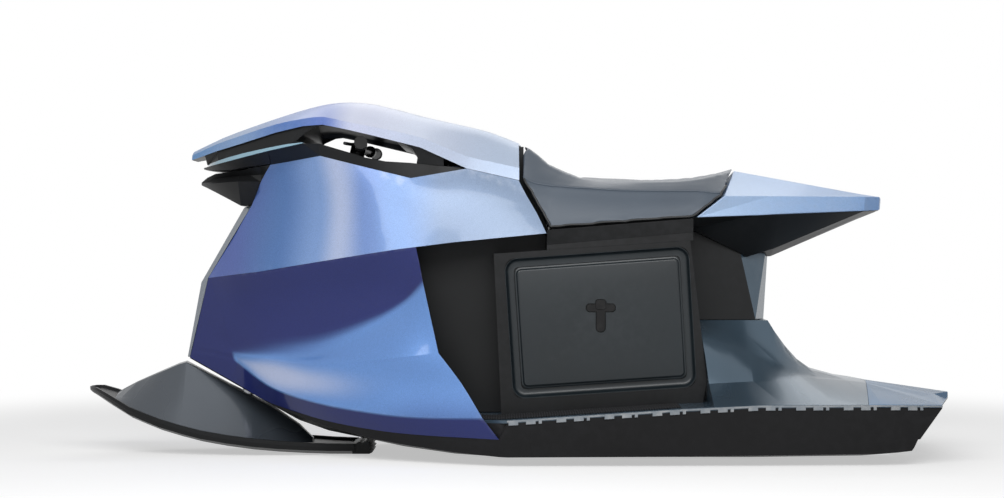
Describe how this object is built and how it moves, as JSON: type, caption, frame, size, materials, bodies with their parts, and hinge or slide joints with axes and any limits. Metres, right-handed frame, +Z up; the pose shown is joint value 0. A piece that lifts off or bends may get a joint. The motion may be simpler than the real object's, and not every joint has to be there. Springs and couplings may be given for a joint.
{
  "type": "electric personal watercraft",
  "caption": "One-rider electric personal watercraft with a steered front ski, a hand tunnel under the hood, side battery hatches, a lifting saddle and a jet drive.",
  "frame": {"origin": "centre of the bounding box on the floor that the keel stands on", "axes": "+X forward to the ski's nose, +Y to port, +Z up"},
  "size_m": [2.7, 0.8986, 1.096],
  "materials": {
    "light_blue": "metallic light blue paint",
    "deep_blue": "metallic deep blue paint",
    "stem_grey": "metallic grey-teal paint",
    "black": "satin black composite",
    "gloss_dark": "polished dark grey composite",
    "slate": "semi-gloss slate panel",
    "seat": "grey marine vinyl",
    "rubber": "moulded rubber",
    "rail": "light grey strip",
    "metal": "machined stainless",
    "lamp": "clear strip lamp over a pale reflector",
    "battery": "sealed pack"
  },
  "bodies": {
    "craft": {"hull": "black", "deck": "gloss_dark", "stern_platform": "gloss_dark", "rub_rail_port": "rail", "rub_rail_starboard": "rail", "traction_mat_port": "rubber", "traction_mat_starboard": "rubber", "spine": "black", "battery_block": "battery", "motor_block": "metal", "side_panel_lower_port": "deep_blue", "side_panel_lower_starboard": "deep_blue", "side_panel_upper_port": "light_blue", "side_panel_upper_starboard": "light_blue", "stem_panel": "stem_grey", "hood": "light_blue", "hood_liner": "black", "light_bar": "lamp", "console": "black", "dash_display": "gloss_dark", "nose_blade": "black", "nose_wedge": "black", "saddle_hinge": "metal", "seat_tub": "black", "seat_rail_port": "black", "seat_rail_starboard": "black", "tail_cowl": "light_blue", "tail_keel": "black", "jet_duct": "metal", "ride_plate": "metal", "intake_grate": "metal"},
    "handlebar": {"handlebar": "black", "control_pod_port": "black", "control_pod_starboard": "black", "grip_port": "rubber", "grip_starboard": "rubber"},
    "ski": {"ski_board": "black", "ski_cowl": "gloss_dark", "ski_spindle": "metal"},
    "impeller": {"impeller": "metal"},
    "nozzle": {"steering_nozzle": "metal"},
    "hatch_port": {"hatch_port": "slate", "hatch_latch_port": "rubber"},
    "hatch_starboard": {"hatch_starboard": "slate", "hatch_latch_starboard": "rubber"},
    "saddle": {"saddle_pan": "black", "seat_cushion": "seat"}
  },
  "joints": [
    {"name": "handlebar_steer", "type": "hinge", "parent": "craft", "child": "handlebar", "pos_m": [0.507, 0, 0.955], "axis": [-0.2334, 0, 0.9724], "range_deg": [-20, 20]},
    {"name": "ski_steer", "type": "hinge", "parent": "craft", "child": "ski", "pos_m": [0.85, 0, 0.2], "axis": [-0.4618, 0, 0.887], "range_deg": [-16, 16]},
    {"name": "nozzle_steer", "type": "hinge", "parent": "craft", "child": "nozzle", "pos_m": [-1.1503, 0, 0.092], "axis": [0, 0, 1], "range_deg": [-16, 16]},
    {"name": "impeller_spin", "type": "hinge", "parent": "craft", "child": "impeller", "pos_m": [-1.01, 0, 0.092], "axis": [1, 0, 0], "continuous": true},
    {"name": "hatch_port_swing", "type": "hinge", "parent": "craft", "child": "hatch_port", "pos_m": [0.0225, 0.269, 0.582], "axis": [-0.0656, 0, -0.9978], "range_deg": [0, 95]},
    {"name": "hatch_starboard_swing", "type": "hinge", "parent": "craft", "child": "hatch_starboard", "pos_m": [0.0225, -0.269, 0.582], "axis": [0.0656, 0, 0.9978], "range_deg": [0, 95]},
    {"name": "saddle_lift", "type": "hinge", "parent": "craft", "child": "saddle", "pos_m": [-0.001, 0, 0.964], "axis": [0, 1, 0], "range_deg": [0, 50]}
  ],
  "couplings": [
    {"joint": "ski_steer", "follows": "handlebar_steer", "ratio": 0.8},
    {"joint": "nozzle_steer", "follows": "handlebar_steer", "ratio": -0.8}
  ]
}
